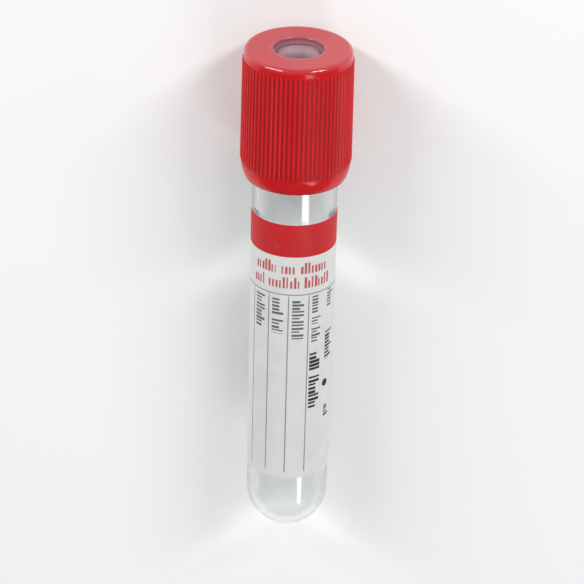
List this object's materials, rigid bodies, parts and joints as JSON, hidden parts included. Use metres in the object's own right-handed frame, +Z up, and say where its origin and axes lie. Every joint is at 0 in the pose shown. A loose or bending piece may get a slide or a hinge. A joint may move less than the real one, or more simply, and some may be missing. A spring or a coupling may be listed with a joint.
{
  "type": "blood collection tube",
  "caption": "Clear round-bottomed tube with a half-wrap label and a ribbed safety cap whose holed top shows the dished rubber stopper; holds a blood sample.",
  "frame": {"origin": "middle of the lying tube's box, on the surface it lies on", "axes": "+X from the round bottom towards the cap, +Z up; the tube's own axis leans up towards the cap by 2.15 degrees"},
  "size_m": [0.0814, 0.0168, 0.0173],
  "materials": {
    "clear_plastic": "clear moulded PET, glossy",
    "label_paper": "white printed label, satin",
    "stopper_rubber": "grey butyl rubber, dull",
    "cap_plastic": "red moulded plastic, fine ribs, soft gloss"
  },
  "bodies": {
    "tube_body": {"tube": "clear_plastic", "label": "label_paper"},
    "closure": {"safety_cap": "cap_plastic", "rubber_stopper": "stopper_rubber"}
  },
  "joints": [
    {"name": "closure_pull", "type": "slide", "parent": "tube_body", "child": "closure", "axis": [0.9993, 0, 0.0376], "range_m": [0, 0.022]}
  ]
}
